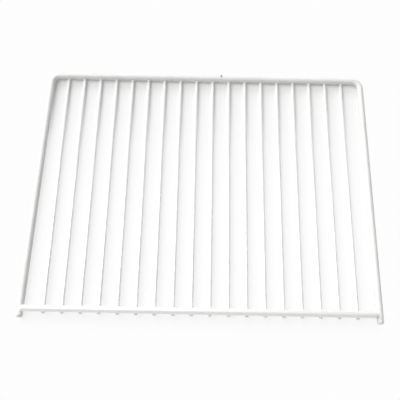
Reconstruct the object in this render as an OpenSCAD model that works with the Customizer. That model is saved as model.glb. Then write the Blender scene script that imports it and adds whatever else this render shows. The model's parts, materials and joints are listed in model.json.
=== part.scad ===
// Wire freezer shelf: a U-shaped frame rod whose two front ends stand free, a row of thin
// wires that run from front to back inside it, and one front bar laid across the top of them.
// The shelf lies flat on the frame rod. X runs across, +Y to the back rod and +Z up. The origin
// is under the middle of the shelf, on the surface that it lies on. Every diameter is taken
// over the white coating.

/* [Frame rod] */
// Width between the centre lines of the two legs, where the front bar crosses them
frame_w = 351; // [300:0.5:420]
// Depth between the centre lines of the back rod and the front bar
frame_d = 263; // [200:0.5:340]
// Diameter of the frame rod
rod_d = 6.8; // [5.6:0.1:8]
// Bend radius of the two back corners, to the centre line of the rod
corner_r = 9; // [8:0.5:20]
// Angle by which the left leg stands open towards the front, in degrees
left_splay = 1.1; // [0:0.05:1.5]
// Angle by which the right leg stands open towards the front, in degrees
right_splay = 0.15; // [0:0.05:1.5]
// Length of each free front end, from the centre line of the front bar to its tip
stub_len = 8.2; // [6:0.1:20]
// Height by which the rod is swollen where each bend begins, as the bending leaves it
bend_swell = 0.05; // [0.03:0.01:0.1]
// Radius that rounds the tips of the free ends
tip_round = 2.2; // [1:0.1:2.6]
// Diameter of the nib of coating that stands on the back rod, where the shelf hung to be coated
nib_d = 1.8; // [1:0.1:2.6]
// Distance of the nib from the middle of the back rod, to the right
nib_x = 19; // [0:0.5:60]

/* [Front bar] */
// Diameter of the front bar
bar_d = 6.4; // [5:0.1:8]
// Distance by which the left end of the bar stops short of the left leg's centre line
bar_left_inset = 0.5; // [0:0.1:2]
// Distance by which the right end of the bar stops short of the right leg's centre line
bar_right_inset = 2; // [0:0.1:2.2]
// Radius that rounds the rims of the bar's ends
bar_round = 0.9; // [0.3:0.1:2]
// Depth by which the bar is pressed into the two legs where it is welded to them
leg_sink = 1.35; // [1.1:0.05:1.8]

/* [Thin wires] */
// Number of thin wires between the legs
wire_count = 18; // [6:1:20]
// Diameter of a thin wire
wire_d = 3.7; // [2.6:0.1:4.4]
// Distance at the bar from the left leg's centre line to that of the first wire
left_gap = 23; // [16:0.5:40]
// Distance at the bar from the right leg's centre line to that of the last wire
right_gap = 22; // [16:0.5:40]
// Distance by which each wire runs past the centre line of the front bar
wire_past = 4.2; // [3.6:0.1:8]
// Depth by which the bar is pressed into each wire where it is welded to it
wire_sink = 0.6; // [0.3:0.05:0.7]
// Radius that rounds the rim of a wire's front end
wire_round = 0.7; // [0.2:0.1:1.2]
// Height by which a weld bead swells a wire
bead_out = 0.4; // [0.1:0.05:0.45]
// Distance by which a weld bead runs along its wire on each side of the weld
bead_half = 2.4; // [1.2:0.1:3]

/* [Hidden] */
round_fn = 48;
coat = "#f4f4f1";
nib_angle = 55;

// Heights of the centre lines over the surface that the shelf lies on
rod_z = rod_d / 2;
bar_z = rod_d - leg_sink + bar_d / 2;
wire_z = bar_z - bar_d / 2 + wire_sink - wire_d / 2;

// Places along Y, with the middle of the whole depth at zero
total_d = frame_d + stub_len + rod_d / 2;
back_y = total_d / 2 - rod_d / 2;
bar_y = back_y - frame_d;
tip_y = bar_y - stub_len;

// Each leg is tangent to its corner bend where its splay is used up, and it crosses the bar at
// half the frame's width. From that follow the height of that point, the leg's length and the
// distance of the bend's centre from the middle of the shelf
function bend_y(splay) = back_y - corner_r * (1 - sin(splay));
function leg_len(splay) = (bend_y(splay) - tip_y) / cos(splay);
function corner_x(splay) =
    frame_w / 2 - (bend_y(splay) - bar_y) * tan(splay) - corner_r * cos(splay);

// The wires share out the width between the two side gaps
wire_pitch = (frame_w - left_gap - right_gap) / (wire_count - 1);
function wire_x(i) = -frame_w / 2 + left_gap + i * wire_pitch;

// Each wire's axis meets the front side of the back rod here, and its front end stands here
wire_back_y = back_y - sqrt(pow(rod_d / 2, 2) - pow(wire_z - rod_z, 2));
wire_front_y = bar_y - wire_past;

function wire_name(i) = str("wire_", i < 9 ? "0" : "", i + 1);

// Half the outline of a round rod that runs up from the origin, with its far rim rounded
module round_end_outline(d, length, rim) {
    square([d / 2, length - rim]);
    square([d / 2 - rim, length]);
    translate([d / 2 - rim, length - rim])
        intersection() {
            circle(rim, $fn = round_fn);
            square(rim);
        }
}

// A round rod along +Z from the origin, with its far rim rounded
module rod_with_round_end(d, length, rim) {
    rotate_extrude($fn = round_fn)
        round_end_outline(d, length, rim);
}

// The front bar's own space, plain, which also presses the seats into what it is welded to
module bar_space() {
    left_x = -frame_w / 2 + bar_left_inset;
    right_x = frame_w / 2 - bar_right_inset;
    translate([left_x, bar_y, bar_z])
        rotate([0, 90, 0])
            cylinder(h = right_x - left_x, d = bar_d, $fn = round_fn);
}

// The straight stretch of the back rod, which the wires are welded to
module back_stretch() {
    translate([-corner_x(left_splay), back_y, rod_z])
        rotate([0, 90, 0])
            cylinder(h = corner_x(left_splay) + corner_x(right_splay), d = rod_d, $fn = round_fn);
}

// A quarter bend about the origin, cut off square where a leg with this splay leaves it
module corner_bend(splay) {
    cut = 2 * corner_r + rod_d;
    difference() {
        rotate_extrude(angle = 90, $fn = 4 * round_fn)
            translate([corner_r, 0])
                circle(d = rod_d, $fn = round_fn);
        rotate([0, 0, splay])
            translate([0, -cut, -cut / 2])
                cube(cut);
    }
}

// The right half of a U whose leg has this splay, laid out from the centre of its bend: half of
// the back rod, the bend and the leg, which all take the same centre line
module half_frame(splay) {
    translate([corner_x(splay), back_y - corner_r, rod_z]) {
        translate([0, corner_r, 0])
            rotate([0, -90, 0])
                cylinder(h = corner_x(splay), d = rod_d, $fn = round_fn);
        union() {
            corner_bend(splay);
            rotate([0, 0, splay])
                translate([corner_r, 0, 0])
                    sphere(d = rod_d + 2 * bend_swell, $fn = 2 * round_fn);
        }
        rotate([0, 0, splay])
            translate([corner_r, 0, 0])
                rotate([90, 0, 0])
                    rod_with_round_end(rod_d, leg_len(splay), tip_round);
    }
}

// The nib of coating, half sunk in the upper side of the back rod
module coat_nib() {
    translate([nib_x, back_y, rod_z])
        rotate([nib_angle, 0, 0])
            translate([0, rod_d / 2 - nib_d / 8, 0])
                sphere(d = nib_d, $fn = round_fn);
}

// The frame rod is one length of rod, bent to a U, with the bar's seats on top of its legs
module frame_rod() {
    color(coat)
        difference() {
            union() {
                half_frame(right_splay);
                mirror([1, 0, 0])
                    half_frame(left_splay);
                coat_nib();
            }
            bar_space();
        }
}

// The front bar lies on the legs and the wires, with both rims rounded by its coating
module front_bar() {
    left_x = -frame_w / 2 + bar_left_inset;
    right_x = frame_w / 2 - bar_right_inset;
    middle_x = (left_x + right_x) / 2;
    half_len = (right_x - left_x) / 2;
    color(coat)
        translate([middle_x, bar_y, bar_z])
            for (side = [-90, 90])
                rotate([0, side, 0])
                    rod_with_round_end(bar_d, half_len, bar_round);
}

// Half the outline of a weld bead that swells a wire on both sides of this place along it
module bead_outline(place) {
    arc_r = (pow(bead_half, 2) + pow(bead_out, 2)) / (2 * bead_out);
    intersection() {
        translate([wire_d / 2 + bead_out - arc_r, place])
            circle(arc_r, $fn = 4 * round_fn);
        translate([0, place - bead_half])
            square([wire_d, 2 * bead_half]);
    }
}

// One thin wire: its back end is shaped to the back rod, and the bar is pressed into its top
module thin_wire(i) {
    color(coat)
        difference() {
            translate([wire_x(i), back_y, wire_z])
                rotate([90, 0, 0])
                    rotate_extrude($fn = round_fn) {
                        round_end_outline(wire_d, back_y - wire_front_y, wire_round);
                        bead_outline(back_y - wire_back_y);
                        bead_outline(back_y - bar_y);
                    }
            back_stretch();
            bar_space();
        }
}

frame_rod();
front_bar();
for (i = [0:wire_count - 1])
    thin_wire(i);
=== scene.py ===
"""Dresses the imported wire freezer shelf.

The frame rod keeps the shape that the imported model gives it. The wires and the front bar are made
anew with the ends and the fall that the photograph shows, and all get a thick white coat. Rings
and lumps of coat are added at the welds, and the stage, the light and the camera stand as they
do in the photograph.
"""

import json
import math

import bmesh
import bpy
from bpy.props import FloatProperty, FloatVectorProperty, IntProperty, PointerProperty
from bpy.types import Operator, Panel, PropertyGroup
from mathutils import Matrix, Vector

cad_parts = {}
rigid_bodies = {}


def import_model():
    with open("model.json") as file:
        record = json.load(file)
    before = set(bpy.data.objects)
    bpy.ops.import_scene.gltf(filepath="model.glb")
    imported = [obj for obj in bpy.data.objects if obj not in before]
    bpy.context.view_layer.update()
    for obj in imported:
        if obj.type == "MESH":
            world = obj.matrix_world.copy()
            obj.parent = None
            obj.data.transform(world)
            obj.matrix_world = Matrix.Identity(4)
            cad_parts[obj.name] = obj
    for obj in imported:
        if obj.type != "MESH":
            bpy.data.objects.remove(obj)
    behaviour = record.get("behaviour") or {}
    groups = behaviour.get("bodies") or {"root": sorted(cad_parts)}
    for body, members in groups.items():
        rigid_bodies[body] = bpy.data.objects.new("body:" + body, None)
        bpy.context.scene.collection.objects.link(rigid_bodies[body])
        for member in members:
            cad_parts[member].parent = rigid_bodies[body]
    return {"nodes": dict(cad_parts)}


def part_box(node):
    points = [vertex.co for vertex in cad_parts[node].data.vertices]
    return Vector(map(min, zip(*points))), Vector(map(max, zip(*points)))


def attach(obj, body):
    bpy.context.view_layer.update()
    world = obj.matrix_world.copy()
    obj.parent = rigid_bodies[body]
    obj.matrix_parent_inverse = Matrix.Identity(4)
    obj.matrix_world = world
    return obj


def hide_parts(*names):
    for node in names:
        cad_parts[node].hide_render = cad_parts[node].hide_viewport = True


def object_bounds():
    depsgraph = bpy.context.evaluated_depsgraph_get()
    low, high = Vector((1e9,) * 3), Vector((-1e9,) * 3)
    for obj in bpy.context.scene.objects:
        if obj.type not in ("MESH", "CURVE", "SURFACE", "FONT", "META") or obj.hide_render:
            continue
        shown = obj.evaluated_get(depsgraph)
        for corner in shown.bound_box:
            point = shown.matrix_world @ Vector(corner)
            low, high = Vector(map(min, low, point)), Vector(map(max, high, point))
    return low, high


bl_info = {
    "name": "Wire freezer shelf",
    "version": (1, 0, 0),
    "blender": (4, 5, 0),
    "location": "3D View > Sidebar > Shelf",
    "description": "Coats a wire shelf, pools the coat at its welds and sets up its stage",
    "category": "Object",
}

for left_over in list(bpy.data.objects):
    bpy.data.objects.remove(left_over)

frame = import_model()
CAD_LOW, CAD_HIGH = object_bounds()

MM = 0.001
SLOT = "white_coat"
BODY = "root"

# Where the rods run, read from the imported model
WIRES = sorted(name for name in frame["nodes"] if name.startswith("wire_"))
BAR_LOW, BAR_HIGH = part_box("front_bar")
ROD_LOW, ROD_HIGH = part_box("frame_rod")

# Diameters over the coat and the swelling of a wire at its welds, as in the part's source
ROD_R = 3.4 * MM
WIRE_R = 1.85 * MM
BEAD_OUT = 0.4 * MM
BEAD_HALF = 2.4 * MM

BAR_R = (BAR_HIGH.z - BAR_LOW.z) / 2
BAR_Y = (BAR_HIGH.y + BAR_LOW.y) / 2
BAR_Z = (BAR_HIGH.z + BAR_LOW.z) / 2
BACK_Y = ROD_HIGH.y - ROD_R
ROD_Z = ROD_R
LEG_X = 175.5 * MM
WIRE_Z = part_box(WIRES[0])[0].z + WIRE_R + BEAD_OUT
WIRE_FRONT_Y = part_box(WIRES[0])[0].y

# Lumps of weld where the bar's ends meet the legs: each one's place across, height and reach
LEG_LUMPS = (
    (1.2 * MM - LEG_X, 6.0 * MM, 2.6 * MM),
    (LEG_X - 2.9 * MM, 5.3 * MM, 3.2 * MM),
)
LUMP_HALF_Y = 3.1 * MM
LUMP_HALF_Z = 1.5 * MM

# The nib on the back rod: its place across, its lean from upright and the outline of its dark end,
# given as distances from the rod's middle and radii
NIB_X = 19 * MM
NIB_LEAN = math.radians(-35)
NIB_SIDE = ((2.6 * MM, 0), (2.6 * MM, 1.0 * MM), (4.1 * MM, 0.95 * MM))
NIB_END = 5.05 * MM
NIB_END_R = 0.75 * MM
NIB_RIM = 0.4 * MM
NIB_FACETS = 20

# How far the edge of a ring of coat sinks into what it lies on
EDGE_SINK = 0.02 * MM

# The camera of the photograph, whose frame is square
FRAME_PX = 400
FOCAL_PX = 600
SENSOR_MM = 36
CAMERA_DOWN = math.radians(69.41)
CAMERA_ROLL = math.radians(1.148)
CAMERA_AT = Vector((-2.2, -232.3, 589.5)) * MM

# Width over which the floor turns white round the shelf
FLOOR_FADE = 12 * MM

# Size at which a ring is spun before its points are set, far larger than the shelf
RING_R = 4.0


def wire_x(name):
    """Where a wire's centre line lies across the shelf."""
    low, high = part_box(name)
    return (low.x + high.x) / 2


class ShelfCoatSettings(PropertyGroup):
    """The white coat over every rod."""

    colour: FloatVectorProperty(
        name="Colour",
        description="Colour of the coat",
        subtype="COLOR",
        default=(0.79, 0.788, 0.778),
        min=0,
        max=1,
    )
    roughness: FloatProperty(
        name="Roughness", description="Roughness of the coat", default=0.38, min=0, max=1
    )
    peel: FloatProperty(
        name="Orange peel",
        description="Strength of the fine ripple that the coat sets with",
        default=0.2,
        min=0,
        max=1,
    )


class ShelfRodSettings(PropertyGroup):
    """The thin wires and the front bar, as the photograph shows them."""

    back_drop: FloatProperty(
        name="Back drop",
        description="How much lower a wire meets the back rod than the front bar",
        default=2.3 * MM,
        min=0,
        max=2.4 * MM,
        unit="LENGTH",
        precision=5,
    )
    wire_rim: FloatProperty(
        name="Wire rim",
        description="Radius that rounds the rim of a wire's front end",
        default=0.9 * MM,
        min=0.2 * MM,
        max=1.5 * MM,
        unit="LENGTH",
        precision=5,
    )
    left_trim: FloatProperty(
        name="Left trim",
        description="How far the bar's left end stops short of its plain solid",
        default=1.4 * MM,
        min=0,
        max=3 * MM,
        unit="LENGTH",
        precision=5,
    )
    right_trim: FloatProperty(
        name="Right trim",
        description="How far the bar's right end stops short of its plain solid",
        default=2.6 * MM,
        min=0,
        max=3 * MM,
        unit="LENGTH",
        precision=5,
    )
    bar_rim: FloatProperty(
        name="Bar rim",
        description="Radius that rounds the rims of the bar's ends",
        default=1.2 * MM,
        min=0.2 * MM,
        max=2 * MM,
        unit="LENGTH",
        precision=5,
    )
    facets: IntProperty(
        name="Facets", description="Number of facets round a rod", default=36, min=12, max=96
    )


class ShelfWeldSettings(PropertyGroup):
    """The rings of coat that have pooled round the welds."""

    reach: FloatProperty(
        name="Reach",
        description="How far a ring of coat runs out along what it joins",
        default=0.9 * MM,
        min=0.2 * MM,
        max=2 * MM,
        unit="LENGTH",
        precision=5,
    )
    sides: IntProperty(
        name="Sides", description="Number of steps round a ring", default=40, min=12, max=96
    )
    steps: IntProperty(
        name="Steps", description="Number of steps across a ring", default=6, min=2, max=16
    )


class ShelfStageSettings(PropertyGroup):
    """The floor, the light and the camera."""

    floor_colour: FloatVectorProperty(
        name="Floor",
        description="Colour of the floor",
        subtype="COLOR",
        default=(0.88, 0.88, 0.876),
        min=0,
        max=1,
    )
    white_back: FloatProperty(
        name="White at the back",
        description="How much of the floor's own white covers its shading near the back rod",
        default=0.15,
        min=0,
        max=1,
    )
    white_front: FloatProperty(
        name="White in front",
        description="The same share away from the back rod, where the light washes shadows out",
        default=0.8,
        min=0,
        max=1,
    )
    sky: FloatProperty(
        name="Fill", description="Strength of the even light from all round", default=0.42, min=0
    )
    sky_lean: FloatVectorProperty(
        name="Fill lean",
        description="Way in which the even light is stronger",
        subtype="XYZ",
        default=(-0.35, -0.4, 0.0),
    )
    sun: FloatProperty(
        name="Key", description="Strength of the broad light from the left", default=2.35, min=0
    )
    sun_from: FloatVectorProperty(
        name="Key from",
        description="Direction that the broad light comes from",
        subtype="DIRECTION",
        default=(-1.2, 0.8, 1.6),
    )
    low_sun: FloatProperty(
        name="Low light", description="Strength of the low light from behind", default=0.8, min=0
    )
    low_from: FloatVectorProperty(
        name="Low light from",
        description="Direction that the low light comes from",
        subtype="DIRECTION",
        default=(-0.35, 1.0, 0.5),
    )
    low_angle: FloatProperty(
        name="Low light breadth",
        description="Breadth of the low light",
        subtype="ANGLE",
        default=math.radians(24),
        min=0,
    )
    sun_angle: FloatProperty(
        name="Key breadth",
        description="Breadth of the broad light",
        subtype="ANGLE",
        default=math.radians(60),
        min=0,
    )


def socket(node, name):
    """An input of a node, by its name."""
    return node.inputs[name]


def coat_material():
    """White plastic coat over steel: satin, faintly rippled and a little uneven in tone."""
    settings = bpy.context.scene.shelf_coat
    material = bpy.data.materials.new(SLOT)
    material.use_nodes = True
    nodes = material.node_tree.nodes
    links = material.node_tree.links
    shader = nodes["Principled BSDF"]
    place = nodes.new("ShaderNodeTexCoord")

    def noise(scale, detail):
        node = nodes.new("ShaderNodeTexNoise")
        socket(node, "Scale").default_value = scale
        socket(node, "Detail").default_value = detail
        links.new(place.outputs["Object"], socket(node, "Vector"))
        return node

    tone = noise(90, 3)
    ramp = nodes.new("ShaderNodeValToRGB")
    red, green, blue = settings.colour
    ramp.color_ramp.elements[0].position = 0.3
    ramp.color_ramp.elements[0].color = (red * 0.94, green * 0.938, blue * 0.925, 1)
    ramp.color_ramp.elements[1].position = 0.7
    ramp.color_ramp.elements[1].color = (red, green, blue, 1)
    links.new(tone.outputs["Fac"], socket(ramp, "Fac"))
    links.new(ramp.outputs["Color"], socket(shader, "Base Color"))

    patch = noise(260, 2)
    rough = nodes.new("ShaderNodeMapRange")
    socket(rough, "To Min").default_value = settings.roughness - 0.06
    socket(rough, "To Max").default_value = settings.roughness + 0.08
    links.new(patch.outputs["Fac"], socket(rough, "Value"))
    links.new(rough.outputs["Result"], socket(shader, "Roughness"))

    peel = noise(600, 2)
    bump = nodes.new("ShaderNodeBump")
    socket(bump, "Strength").default_value = settings.peel
    socket(bump, "Distance").default_value = 0.1 * MM
    links.new(peel.outputs["Fac"], socket(bump, "Height"))
    links.new(bump.outputs["Normal"], socket(shader, "Normal"))
    return material


def finished(name, bm, replaced=()):
    """A mesh object made from a bmesh, which rides with the shelf and takes its coat."""
    bmesh.ops.remove_doubles(bm, verts=bm.verts, dist=0.0001 * MM)
    bmesh.ops.recalc_face_normals(bm, faces=bm.faces)
    mesh = bpy.data.meshes.new(name)
    bm.to_mesh(mesh)
    bm.free()
    mesh.shade_smooth()
    mesh.materials.append(bpy.data.materials[SLOT])
    piece = bpy.data.objects.new(name, mesh)
    bpy.context.scene.collection.objects.link(piece)
    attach(piece, BODY)
    if replaced:
        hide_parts(*replaced)
    return piece


def spun(bm, outline, sides):
    """Spins pairs of place along an axis and radius about Z, to a closed round form."""
    verts = [bm.verts.new((radius, 0, along)) for along, radius in outline]
    edges = [bm.edges.new(pair) for pair in zip(verts, verts[1:])]
    bmesh.ops.spin(
        bm,
        geom=[*verts, *edges],
        cent=(0, 0, 0),
        axis=(0, 0, 1),
        angle=math.tau,
        steps=sides,
        use_merge=True,
    )


def rounded_end(along, radius, rim, count=6):
    """Places and radii over a rim that is rounded at the far end of a rod, to its middle."""
    turns = [math.pi / 2 * step / count for step in range(count + 1)]
    arc = [
        (along - rim + rim * math.sin(turn), radius - rim + rim * math.cos(turn))
        for turn in turns
    ]
    return [*arc, (along, 0)]


def pooled_ring(bm, crease, on_one, on_other, inside):
    """Adds a closed ring of coat along a crease.

    Each argument takes a turn round the ring and gives a point: the crease itself, how far the
    coat reaches on the one surface and on the other, and a point sunk in both.
    """
    settings = bpy.context.scene.shelf_welds
    count = settings.steps + 2
    made = bmesh.ops.create_circle(
        bm,
        segments=count,
        radius=1,
        matrix=Matrix.Translation((RING_R, 0, 0)) @ Matrix.Rotation(math.pi / 2, 4, "X"),
    )
    edges = {edge for vert in made["verts"] for edge in vert.link_edges}
    bmesh.ops.spin(
        bm,
        geom=[*made["verts"], *edges],
        cent=(0, 0, 0),
        axis=(0, 0, 1),
        angle=math.tau,
        steps=settings.sides,
        use_merge=True,
    )
    for vert in bm.verts:
        if vert.co.length < RING_R / 2:
            continue
        turn = math.atan2(vert.co.y, vert.co.x)
        across = math.atan2(vert.co.z, math.hypot(vert.co.x, vert.co.y) - RING_R)
        step = round(across / math.tau * count) % count
        if step > settings.steps:
            vert.co = inside(turn)
            continue
        share = step / settings.steps
        start, middle, end = on_one(turn), crease(turn), on_other(turn)
        vert.co = start.lerp(middle, share).lerp(middle.lerp(end, share), share)


def bead_radius(along):
    """Radius of a wire's swelling at a distance from the middle of its weld."""
    arc = (BEAD_HALF**2 + BEAD_OUT**2) / (2 * BEAD_OUT)
    if abs(along) >= BEAD_HALF:
        return WIRE_R
    return WIRE_R + BEAD_OUT - arc + math.sqrt(arc**2 - along**2)


def back_rod_front(z):
    """Where the front side of the back rod lies at a height."""
    up = max(-0.985, min(0.985, (z - ROD_Z) / ROD_R))
    return BACK_Y - ROD_R * math.sqrt(1 - up**2)


def wire_height(y):
    """Height of a wire's centre line, which falls a little towards the back rod."""
    drop = bpy.context.scene.shelf_rods.back_drop
    return WIRE_Z - drop * (y - BAR_Y) / (BACK_Y - ROD_R - BAR_Y)


class SHELF_OT_coat_rods(Operator):
    """Give the frame rod, the front bar and the wires their white coat"""

    bl_idname = "shelf.coat_rods"
    bl_label = "Coat rods"

    def execute(self, context):
        material = coat_material()
        for rod in frame["nodes"].values():
            rod.data.materials.clear()
            rod.data.materials.append(material)
        return {"FINISHED"}


class SHELF_OT_round_wires(Operator):
    """Make the thin wires, each swollen where the front bar crosses it, with a rounded front end"""

    bl_idname = "shelf.round_wires"
    bl_label = "Round wires"

    def execute(self, context):
        settings = context.scene.shelf_rods
        weld_y = back_rod_front(wire_height(BACK_Y))
        start_y = weld_y + WIRE_R
        bar_at, front_at = start_y - BAR_Y, start_y - WIRE_FRONT_Y
        swells = [BEAD_HALF * step / 6 for step in range(-6, 7)]
        outline = [(0, 0), (0, WIRE_R)]
        outline += [(bar_at + at, bead_radius(at)) for at in swells]
        outline += rounded_end(front_at, WIRE_R, settings.wire_rim)
        for number, name in enumerate(WIRES, 1):
            bm = bmesh.new()
            spun(bm, outline, settings.facets)
            lay = Matrix.Translation((wire_x(name), start_y, 0)) @ Matrix.Rotation(
                math.pi / 2, 4, "X"
            )
            bmesh.ops.transform(bm, matrix=lay, verts=bm.verts)
            for vert in bm.verts:
                vert.co.z += wire_height(vert.co.y)
            finished(f"coated_wire_{number:02d}", bm, [name])
        return {"FINISHED"}


class SHELF_OT_round_bar(Operator):
    """Make the front bar with its rounded ends, laid over the wires"""

    bl_idname = "shelf.round_bar"
    bl_label = "Round bar"

    def execute(self, context):
        settings = context.scene.shelf_rods
        left_x = BAR_LOW.x + settings.left_trim
        right_x = BAR_HIGH.x - settings.right_trim
        half = (right_x - left_x) / 2
        far = rounded_end(half, BAR_R, settings.bar_rim)
        near = [(-along, radius) for along, radius in reversed(far)]
        bm = bmesh.new()
        spun(bm, near + far, settings.facets)
        middle = Vector(((left_x + right_x) / 2, BAR_Y, BAR_Z))
        lay = Matrix.Translation(middle) @ Matrix.Rotation(math.pi / 2, 4, "Y")
        bmesh.ops.transform(bm, matrix=lay, verts=bm.verts)
        finished("coated_bar", bm, ["front_bar"])
        return {"FINISHED"}


class SHELF_OT_leg_welds(Operator):
    """Add the lumps of weld under the coat where the bar's ends meet the legs"""

    bl_idname = "shelf.leg_welds"
    bl_label = "Leg welds"

    def execute(self, context):
        bm = bmesh.new()
        for x, height, reach in LEG_LUMPS:
            place = Matrix.Translation((x, BAR_Y, height))
            shape = Matrix.Diagonal((reach, LUMP_HALF_Y, LUMP_HALF_Z, 1))
            bmesh.ops.create_uvsphere(
                bm, u_segments=28, v_segments=14, radius=1, matrix=place @ shape
            )
        finished("leg_weld_coat", bm)
        return {"FINISHED"}


def dark_nib_material():
    """A dull dark grey, a little metallic, for the end of the nib."""
    material = bpy.data.materials.new("worn_nib")
    material.use_nodes = True
    nodes = material.node_tree.nodes
    links = material.node_tree.links
    shader = nodes["Principled BSDF"]
    socket(shader, "Metallic").default_value = 0.3
    socket(shader, "Roughness").default_value = 0.55
    place = nodes.new("ShaderNodeTexCoord")
    patch = nodes.new("ShaderNodeTexNoise")
    socket(patch, "Scale").default_value = 1500
    links.new(place.outputs["Object"], socket(patch, "Vector"))
    ramp = nodes.new("ShaderNodeValToRGB")
    ramp.color_ramp.elements[0].position = 0.35
    ramp.color_ramp.elements[0].color = (0.22, 0.21, 0.195, 1)
    ramp.color_ramp.elements[1].position = 0.65
    ramp.color_ramp.elements[1].color = (0.36, 0.35, 0.33, 1)
    links.new(patch.outputs["Fac"], socket(ramp, "Fac"))
    links.new(ramp.outputs["Color"], socket(shader, "Base Color"))
    return material


class SHELF_OT_dark_nib_end(Operator):
    """Add a dark grey end to the nib on the back rod"""

    bl_idname = "shelf.worn_nib"
    bl_label = "Dark nib end"

    def execute(self, context):
        bm = bmesh.new()
        spun(bm, [*NIB_SIDE, *rounded_end(NIB_END, NIB_END_R, NIB_RIM)], NIB_FACETS)
        lean = Matrix.Rotation(NIB_LEAN, 4, "X")
        place = Matrix.Translation((NIB_X, BACK_Y, ROD_Z))
        bmesh.ops.transform(bm, matrix=place @ lean, verts=bm.verts)
        nib = finished("worn_nib", bm)
        nib.data.materials[0] = dark_nib_material()
        return {"FINISHED"}


class SHELF_OT_back_welds(Operator):
    """Pool the coat where each wire ends against the back rod"""

    bl_idname = "shelf.back_welds"
    bl_label = "Back welds"

    def execute(self, context):
        reach = context.scene.shelf_welds.reach
        weld_z = wire_height(BACK_Y - ROD_R)
        bm = bmesh.new()
        for name in WIRES:
            middle = wire_x(name)

            def around(turn, radius):
                return middle + radius * math.sin(turn), weld_z + radius * math.cos(turn)

            def crease(turn):
                x, z = around(turn, WIRE_R)
                return Vector((x, back_rod_front(z), z))

            def on_wire(turn):
                y = crease(turn).y - reach
                x, z = around(turn, WIRE_R - EDGE_SINK)
                return Vector((x, y, z + wire_height(y) - weld_z))

            def on_rod(turn):
                x, z = around(turn, WIRE_R + reach * (0.85 - 0.6 * abs(math.cos(turn))))
                z = max(z, 0.05 * MM)
                return Vector((x, back_rod_front(z) + EDGE_SINK, z))

            def inside(turn):
                x, z = around(turn, WIRE_R - 0.6 * MM)
                return Vector((x, back_rod_front(z) + 0.6 * MM, z))

            pooled_ring(bm, crease, on_wire, on_rod, inside)
        finished("back_weld_coat", bm)
        return {"FINISHED"}


class SHELF_OT_bar_welds(Operator):
    """Pool the coat where the front bar crosses each wire"""

    bl_idname = "shelf.bar_welds"
    bl_label = "Bar welds"

    def execute(self, context):
        reach = context.scene.shelf_welds.reach
        bm = bmesh.new()
        for name in WIRES:
            middle = wire_x(name)

            def wire_top(turn, far):
                x, y = far * math.sin(turn), far * math.cos(turn)
                radius = bead_radius(y)
                side = min(abs(x), radius * 0.97)
                return Vector((middle + math.copysign(side, x), BAR_Y + y,
                               WIRE_Z + math.sqrt(radius**2 - side**2)))

            def bar_under(turn, far):
                x, y = far * math.sin(turn), far * math.cos(turn)
                ahead = min(abs(y), BAR_R * 0.97)
                return Vector((middle + x, BAR_Y + math.copysign(ahead, y),
                               BAR_Z - math.sqrt(BAR_R**2 - ahead**2)))

            def crease_far(turn):
                low, high = 0.0, BAR_R
                for _ in range(30):
                    far = (low + high) / 2
                    if wire_top(turn, far).z > bar_under(turn, far).z:
                        low = far
                    else:
                        high = far
                return low

            def crease(turn):
                return bar_under(turn, crease_far(turn))

            def on_wire(turn):
                point = wire_top(turn, crease_far(turn) + reach)
                point.z -= EDGE_SINK
                return point

            def on_bar(turn):
                point = bar_under(turn, crease_far(turn) + reach)
                point.z += EDGE_SINK
                return point

            def inside(turn):
                far = crease_far(turn) - 0.5 * MM
                return bar_under(turn, far) + Vector((0, 0, 0.1 * MM))

            pooled_ring(bm, crease, on_wire, on_bar, inside)
        finished("bar_weld_coat", bm)
        return {"FINISHED"}


def grey_ramp(nodes, links, value, stops):
    """A grey that follows a value from one stop to the next, each a place and a level."""
    low, high = stops[0][0], stops[-1][0]
    along = nodes.new("ShaderNodeMapRange")
    links.new(value, socket(along, "Value"))
    socket(along, "From Min").default_value = low
    socket(along, "From Max").default_value = high
    fade = nodes.new("ShaderNodeValToRGB")
    links.new(along.outputs["Result"], socket(fade, "Fac"))
    elements = fade.color_ramp.elements
    while len(elements) < len(stops):
        elements.new(0.5)
    for element, (place, level) in zip(elements, stops):
        element.position = (place - low) / (high - low)
        element.color = (level, level, level, 1)
    return fade.outputs["Color"]


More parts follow.
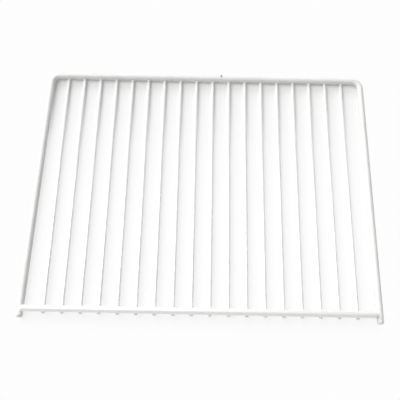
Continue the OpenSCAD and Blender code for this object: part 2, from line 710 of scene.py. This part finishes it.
def floor_material():
    """Pale floor that keeps soft shadows, and whose own white washes them out in front. It also has
    painted shade: darker towards the back rod, with a painted shadow band just in front of that
    rod.
    """
    settings = bpy.context.scene.shelf_stage
    material = bpy.data.materials.new("pale_floor")
    material.use_nodes = True
    nodes = material.node_tree.nodes
    links = material.node_tree.links
    nodes.clear()
    place = nodes.new("ShaderNodeTexCoord")
    parts = nodes.new("ShaderNodeSeparateXYZ")
    links.new(place.outputs["Object"], socket(parts, "Vector"))
    outward = nodes.new("ShaderNodeMath")
    outward.operation = "ABSOLUTE"
    links.new(parts.outputs["X"], outward.inputs[0])
    beside = grey_ramp(
        nodes, links, outward.outputs["Value"], ((LEG_X - FLOOR_FADE / 2, 0), (LEG_X, 1))
    )
    white_stops = (
        (CAD_LOW.y - FLOOR_FADE, 1),
        (CAD_LOW.y, settings.white_front),
        (50 * MM, settings.white_front - 0.1),
        (BACK_Y - FLOOR_FADE, settings.white_back),
        (BACK_Y, settings.white_back),
        (BACK_Y + FLOOR_FADE, 1),
    )
    # Painted shade on the floor: darker towards the back rod, deepest in a painted shadow band
    # about 10 mm in front of it
    painted_shade_stops = (
        (BACK_Y - 150 * MM, 1),
        (BACK_Y - 80 * MM, 0.98),
        (BACK_Y - 40 * MM, 0.955),
        (BACK_Y - 22 * MM, 0.93),
        (BACK_Y - 10 * MM, 0.87),
        (BACK_Y - 3 * MM, 0.96),
        (BACK_Y + 3 * MM, 1),
    )

    def larger(one, other):
        node = nodes.new("ShaderNodeMath")
        node.operation = "MAXIMUM"
        links.new(one, node.inputs[0])
        links.new(other, node.inputs[1])
        return node.outputs["Value"]

    # The painted shade darkens both the floor's colour and its own white, except out beyond the
    # legs
    tone = larger(grey_ramp(nodes, links, parts.outputs["Y"], painted_shade_stops), beside)
    floor_with_painted_shade = nodes.new("ShaderNodeMix")
    floor_with_painted_shade.data_type = "RGBA"
    links.new(tone, floor_with_painted_shade.inputs["Factor"])
    floor_with_painted_shade.inputs["A"].default_value = (0, 0, 0, 1)
    floor_with_painted_shade.inputs["B"].default_value = (*settings.floor_colour, 1)
    matt = nodes.new("ShaderNodeBsdfDiffuse")
    links.new(floor_with_painted_shade.outputs["Result"], socket(matt, "Color"))
    white = nodes.new("ShaderNodeEmission")
    links.new(tone, socket(white, "Color"))
    socket(white, "Strength").default_value = 0.985

    seen = nodes.new("ShaderNodeLightPath")
    share = nodes.new("ShaderNodeMath")
    share.operation = "MULTIPLY"
    links.new(larger(seen.outputs["Is Camera Ray"], seen.outputs["Is Glossy Ray"]), share.inputs[0])
    white_share = grey_ramp(nodes, links, parts.outputs["Y"], white_stops)
    links.new(larger(white_share, beside), share.inputs[1])
    mixed = nodes.new("ShaderNodeMixShader")
    links.new(share.outputs["Value"], socket(mixed, "Fac"))
    links.new(matt.outputs["BSDF"], mixed.inputs[1])
    links.new(white.outputs["Emission"], mixed.inputs[2])
    out = nodes.new("ShaderNodeOutputMaterial")
    links.new(mixed.outputs["Shader"], socket(out, "Surface"))
    return material


class SHELF_OT_stage(Operator):
    """Lay the floor and set up the light and the camera"""

    bl_idname = "shelf.stage"
    bl_label = "Stage"

    def execute(self, context):
        settings = context.scene.shelf_stage
        bm = bmesh.new()
        bmesh.ops.create_grid(bm, x_segments=1, y_segments=1, size=4)
        bmesh.ops.translate(bm, verts=bm.verts, vec=(0, 0, CAD_LOW.z))
        mesh = bpy.data.meshes.new("floor")
        bm.to_mesh(mesh)
        bm.free()
        mesh.materials.append(floor_material())
        floor = bpy.data.objects.new("floor", mesh)
        context.scene.collection.objects.link(floor)
        self.light(context, settings)
        self.camera(context)
        context.scene.view_settings.view_transform = "Standard"
        return {"FINISHED"}

    def light(self, context, settings):
        """The broad light, the even fill and the white that lies behind everything."""
        for name, energy, breadth, origin in (
            ("broad_light", settings.sun, settings.sun_angle, settings.sun_from),
            ("low_light", settings.low_sun, settings.low_angle, settings.low_from),
        ):
            lamp = bpy.data.lights.new(name, "SUN")
            lamp.energy = energy
            lamp.angle = breadth
            lit = bpy.data.objects.new(name, lamp)
            context.scene.collection.objects.link(lit)
            lit.rotation_euler = Vector(origin).to_track_quat("Z", "Y").to_euler()

        world = bpy.data.worlds.new("even_light")
        context.scene.world = world
        world.use_nodes = True
        nodes = world.node_tree.nodes
        links = world.node_tree.links
        fill = nodes["Background"]
        socket(fill, "Color").default_value = (1, 1, 1, 1)
        way = nodes.new("ShaderNodeTexCoord")
        lean = nodes.new("ShaderNodeVectorMath")
        lean.operation = "DOT_PRODUCT"
        links.new(way.outputs["Generated"], lean.inputs[0])
        lean.inputs[1].default_value = settings.sky_lean
        level = nodes.new("ShaderNodeMath")
        level.operation = "MULTIPLY_ADD"
        links.new(lean.outputs["Value"], level.inputs[0])
        level.inputs[1].default_value = settings.sky
        level.inputs[2].default_value = settings.sky
        links.new(level.outputs["Value"], socket(fill, "Strength"))
        white = nodes.new("ShaderNodeBackground")
        socket(white, "Color").default_value = (1, 1, 1, 1)
        socket(white, "Strength").default_value = 1
        seen = nodes.new("ShaderNodeLightPath")
        mixed = nodes.new("ShaderNodeMixShader")
        links.new(seen.outputs["Is Camera Ray"], mixed.inputs[0])
        links.new(fill.outputs["Background"], mixed.inputs[1])
        links.new(white.outputs["Background"], mixed.inputs[2])
        links.new(mixed.outputs["Shader"], socket(nodes["World Output"], "Surface"))

    def camera(self, context):
        """The photograph's camera: above the front of the shelf, looking steeply down."""
        look = Vector((0, math.cos(CAMERA_DOWN), -math.sin(CAMERA_DOWN)))
        right = Vector((1, 0, 0))
        upright = Matrix((right, right.cross(look), -look)).transposed().to_4x4()
        lens = bpy.data.cameras.new("camera")
        lens.sensor_width = SENSOR_MM
        lens.lens = FOCAL_PX / FRAME_PX * SENSOR_MM
        lens.clip_start = 0.01
        lens.clip_end = 20
        camera = bpy.data.objects.new("camera", lens)
        context.scene.collection.objects.link(camera)
        camera.matrix_world = (
            Matrix.Translation(CAMERA_AT) @ upright @ Matrix.Rotation(CAMERA_ROLL, 4, "Z")
        )
        context.scene.camera = camera


class SHELF_PT_panel(Panel):
    """Every step that dresses the shelf, with its settings"""

    bl_idname = "SHELF_PT_panel"
    bl_label = "Wire freezer shelf"
    bl_space_type = "VIEW_3D"
    bl_region_type = "UI"
    bl_category = "Shelf"

    def draw(self, context):
        scene = context.scene
        for settings in SETTINGS:
            group = getattr(scene, settings)
            box = self.layout.box()
            for name in group.__annotations__:
                box.prop(group, name)
        for step in STEPS:
            self.layout.operator(step.bl_idname)


SETTINGS = {
    "shelf_coat": ShelfCoatSettings,
    "shelf_rods": ShelfRodSettings,
    "shelf_welds": ShelfWeldSettings,
    "shelf_stage": ShelfStageSettings,
}
STEPS = (
    SHELF_OT_coat_rods,
    SHELF_OT_round_wires,
    SHELF_OT_round_bar,
    SHELF_OT_back_welds,
    SHELF_OT_bar_welds,
    SHELF_OT_leg_welds,
    SHELF_OT_dark_nib_end,
    SHELF_OT_stage,
)


def register():
    for group in SETTINGS.values():
        bpy.utils.register_class(group)
    for name, group in SETTINGS.items():
        setattr(bpy.types.Scene, name, PointerProperty(type=group))
    for step in (*STEPS, SHELF_PT_panel):
        bpy.utils.register_class(step)


def unregister():
    for step in reversed((*STEPS, SHELF_PT_panel)):
        bpy.utils.unregister_class(step)
    for name in SETTINGS:
        delattr(bpy.types.Scene, name)
    for group in reversed(list(SETTINGS.values())):
        bpy.utils.unregister_class(group)


def main():
    register()
    bpy.ops.shelf.coat_rods()
    bpy.ops.shelf.round_wires()
    bpy.ops.shelf.round_bar()
    bpy.ops.shelf.back_welds()
    bpy.ops.shelf.bar_welds()
    bpy.ops.shelf.leg_welds()
    bpy.ops.shelf.worn_nib()
    bpy.ops.shelf.stage()


if __name__ == "__main__":
    main()
